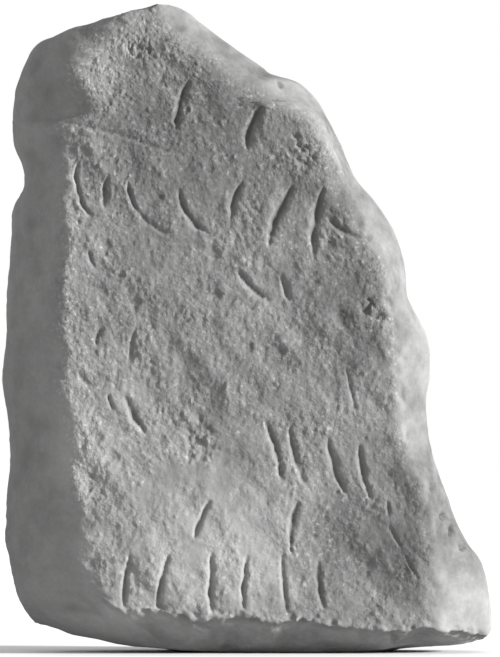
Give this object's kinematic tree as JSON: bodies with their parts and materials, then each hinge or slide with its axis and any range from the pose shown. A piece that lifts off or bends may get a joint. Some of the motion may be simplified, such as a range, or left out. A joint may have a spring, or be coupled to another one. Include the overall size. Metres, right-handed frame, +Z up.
{
  "type": "inscribed stone",
  "caption": "Weathered boulder slab of coarse grey stone with rows of shallow cut strokes on its flattish face, standing on its underside.",
  "frame": {"origin": "on the ground under the middle of the stone's bounding box", "axes": "+Z up along the height, +Y from the carved face towards the back, +X to the right of someone who faces the carving"},
  "size_m": [0.4536, 0.2, 0.6],
  "materials": {
    "stone": "rough"
  },
  "bodies": {
    "root": {"inscribed_stone": "stone"}
  },
  "joints": []
}
